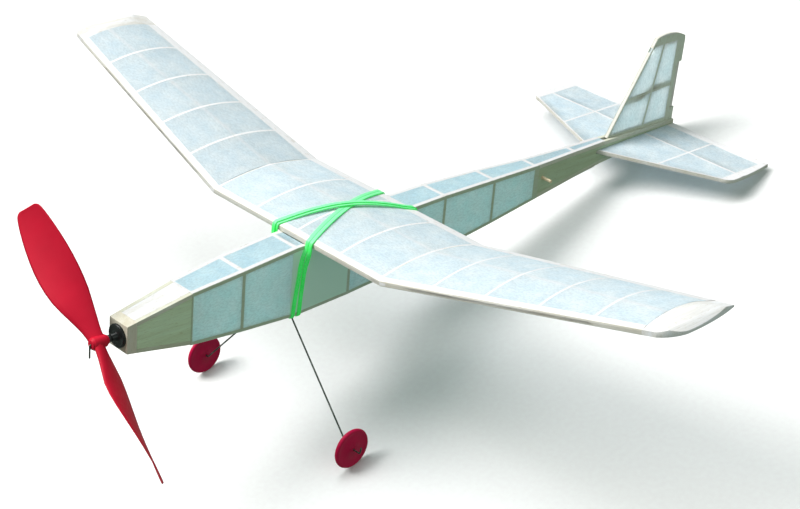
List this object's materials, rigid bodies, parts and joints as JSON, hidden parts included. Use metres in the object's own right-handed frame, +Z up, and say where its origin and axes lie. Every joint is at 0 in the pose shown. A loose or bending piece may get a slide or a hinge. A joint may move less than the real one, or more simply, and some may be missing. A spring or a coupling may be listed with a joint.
{
  "type": "rubber-powered model aeroplane",
  "caption": "Balsa and tissue model aeroplane with raised outer wing panels, wire landing gear, plastic propeller and a rubber motor inside a square fuselage.",
  "frame": {"origin": "middle of the bounding box in plan, on the ground plane under wheels and tail", "axes": "+X to the port wing tip, +Y aft along the ground to the tail, +Z up; the model stands nose-up on its wheels and tail"},
  "size_m": [0.6322, 0.6262, 0.2305],
  "materials": {
    "balsa": "sanded balsa, fine straight grain",
    "nose_balsa": "sanded laminated balsa",
    "plywood": "birch plywood",
    "dowel": "birch dowel",
    "tissue": "doped translucent tissue, pale blue",
    "wheel_plastic": "moulded, semi-gloss",
    "propeller_plastic": "moulded, glossy",
    "button_plastic": "matt black moulding",
    "brass_bead": "turned brass",
    "spring_wire": "blued spring wire",
    "motor_rubber": "lubricated strip rubber",
    "band_rubber": "green elastic band"
  },
  "bodies": {
    "airframe": {"bottom_crosspieces": "balsa", "bottom_longerons": "balsa", "dihedral_braces": "plywood", "fin_base": "balsa", "fin_leading_edge": "balsa", "fin_rib": "balsa", "fin_spar": "balsa", "fin_tip": "balsa", "fin_tissue": "tissue", "fin_trailing_edge": "balsa", "gear_plate": "plywood", "landing_gear": "spring_wire", "motor_peg": "dowel", "nose_block": "nose_balsa", "nose_bottom_sheet": "balsa", "nose_cheeks": "balsa", "nose_top_sheet": "balsa", "rubber_motor": "motor_rubber", "saddle_panels": "balsa", "stab_leading_edges": "balsa", "stab_ribs": "balsa", "stab_spar": "balsa", "stab_tip_port": "balsa", "stab_tip_starboard": "balsa", "stab_tissue": "tissue", "stab_trailing_edge": "balsa", "tail_sheets": "balsa", "tissue_bottom": "tissue", "tissue_sides": "tissue", "tissue_top": "tissue", "top_crosspieces": "balsa", "top_longerons": "balsa", "uprights_port": "balsa", "uprights_starboard": "balsa", "wing_band_inner": "band_rubber", "wing_band_outer": "band_rubber", "wing_leading_edge_centre": "balsa", "wing_leading_edge_port": "balsa", "wing_leading_edge_starboard": "balsa", "wing_ribs_centre": "balsa", "wing_ribs_port": "balsa", "wing_ribs_starboard": "balsa", "wing_spar_centre": "balsa", "wing_spar_port": "balsa", "wing_spar_starboard": "balsa", "wing_tip_port": "balsa", "wing_tip_starboard": "balsa", "wing_tissue_centre": "tissue", "wing_tissue_port": "tissue", "wing_tissue_starboard": "tissue", "wing_trailing_edge_centre": "balsa", "wing_trailing_edge_port": "balsa", "wing_trailing_edge_starboard": "balsa"},
    "nose_plug": {"nose_button": "button_plastic"},
    "propeller_unit": {"propeller": "propeller_plastic", "prop_shaft": "spring_wire", "thrust_bead": "brass_bead"},
    "wheel_port_unit": {"wheel_port": "wheel_plastic"},
    "wheel_starboard_unit": {"wheel_starboard": "wheel_plastic"},
    "tab_unit": {"trim_tab": "balsa"}
  },
  "joints": [
    {"name": "nose_plug_pull", "type": "slide", "parent": "airframe", "child": "nose_plug", "axis": [0, -0.9584, 0.2853], "range_m": [0, 0.02], "stiffness_N_per_m": 12, "springref_m": -0.02, "deforming": ["rubber_motor"]},
    {"name": "propeller_spin", "type": "hinge", "parent": "nose_plug", "child": "propeller_unit", "pos_m": [0, -0.27405, 0.15587], "axis": [0, -0.9584, 0.2853], "continuous": true},
    {"name": "wheel_port_spin", "type": "hinge", "parent": "airframe", "child": "wheel_port_unit", "pos_m": [0.0836, -0.1635, 0.0155], "axis": [1, 0, 0], "continuous": true},
    {"name": "wheel_starboard_spin", "type": "hinge", "parent": "airframe", "child": "wheel_starboard_unit", "pos_m": [-0.0836, -0.1635, 0.0155], "axis": [1, 0, 0], "continuous": true},
    {"name": "trim_tab_bend", "type": "hinge", "parent": "airframe", "child": "tab_unit", "pos_m": [0, 0.28889, 0.02202], "axis": [0, 0.3209, 0.9471], "range_deg": [-30, 45]}
  ]
}
